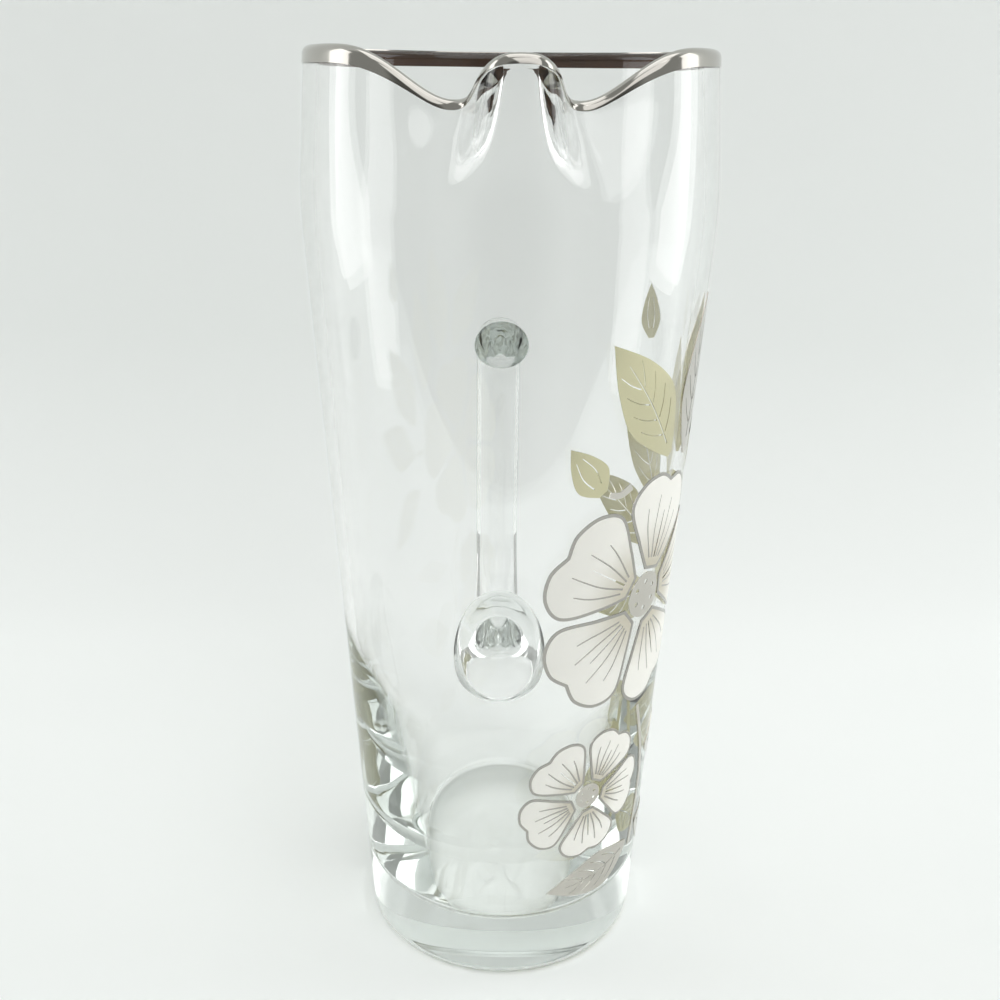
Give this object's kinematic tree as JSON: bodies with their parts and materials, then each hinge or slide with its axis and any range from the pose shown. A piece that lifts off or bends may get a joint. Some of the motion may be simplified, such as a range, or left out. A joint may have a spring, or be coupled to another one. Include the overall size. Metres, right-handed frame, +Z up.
{
  "type": "glass pitcher",
  "caption": "Tall tapered clear-glass pitcher with a pinched pouring lip, heavy base, applied loop handle, silver rim band and silver overlay spray of blossoms and leaves.",
  "frame": {"origin": "middle of the flat base, on the surface the pitcher stands on", "axes": "+Z up, pouring lip towards -Y, handle towards +Y, overlay spray on the +X half"},
  "size_m": [0.1074, 0.1523, 0.2552],
  "materials": {
    "clear_glass": "clear blown soda-lime glass, fire polished",
    "polished_silver": "polished silver deposit with engraved lines",
    "satin_silver": "frosted silver deposit with polished edge"
  },
  "bodies": {
    "root": {"back_bud": "polished_silver", "back_low_leaf": "polished_silver", "back_side_leaf": "polished_silver", "back_stalk": "polished_silver", "back_top_leaf": "polished_silver", "back_upper_leaf": "polished_silver", "blossom_heart": "polished_silver", "blossom_petal_1": "satin_silver", "blossom_petal_2": "satin_silver", "blossom_petal_3": "satin_silver", "blossom_petal_4": "satin_silver", "blossom_petal_5": "satin_silver", "bud_stalk": "polished_silver", "front_bud": "polished_silver", "glass_body": "clear_glass", "handle": "clear_glass", "low_back_leaf": "polished_silver", "low_blossom_heart": "polished_silver", "low_blossom_petal_1": "satin_silver", "low_blossom_petal_2": "satin_silver", "low_blossom_petal_3": "satin_silver", "low_blossom_petal_4": "satin_silver", "low_blossom_petal_5": "satin_silver", "low_front_leaf": "polished_silver", "main_stem": "polished_silver", "rim_band": "polished_silver", "side_leaf": "polished_silver", "top_leaf": "polished_silver", "upper_front_leaf": "polished_silver"}
  },
  "joints": []
}
